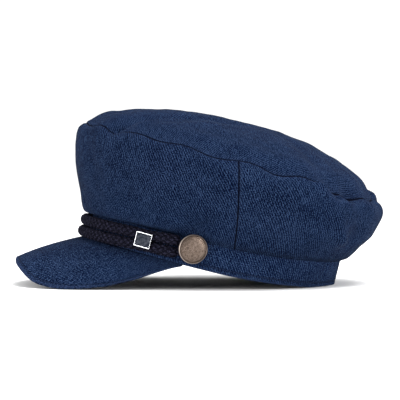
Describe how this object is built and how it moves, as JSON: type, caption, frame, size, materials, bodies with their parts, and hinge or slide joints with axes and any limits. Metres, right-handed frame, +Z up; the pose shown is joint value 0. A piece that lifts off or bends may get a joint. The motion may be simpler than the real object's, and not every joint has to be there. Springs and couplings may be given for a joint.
{
  "type": "breton fisherman cap",
  "caption": "Soft denim fisherman cap with a full domed crown, a plain band, a curved peak, a double cord with a metal slide, and a button at each side.",
  "frame": {"origin": "under the middle of the bounding box, on the surface that the cap lies on", "axes": "+Z up, -Y towards the tip of the peak, +X towards the wearer's left"},
  "size_m": [0.234, 0.2934, 0.1394],
  "materials": {
    "denim": "indigo cotton twill with pale flecks",
    "band_denim": "indigo cotton twill",
    "cord_cotton": "near-black navy braid",
    "brushed_steel": "dull face with polished edges",
    "aged_bronze": "aged bronze, slightly worn"
  },
  "bodies": {
    "root": {"crown_front": "denim", "crown_rear": "denim", "crown_top": "denim", "band": "band_denim", "peak": "denim", "cord_upper": "cord_cotton", "cord_lower": "cord_cotton", "slide": "brushed_steel", "button_left": "aged_bronze", "button_right": "aged_bronze"}
  },
  "joints": []
}
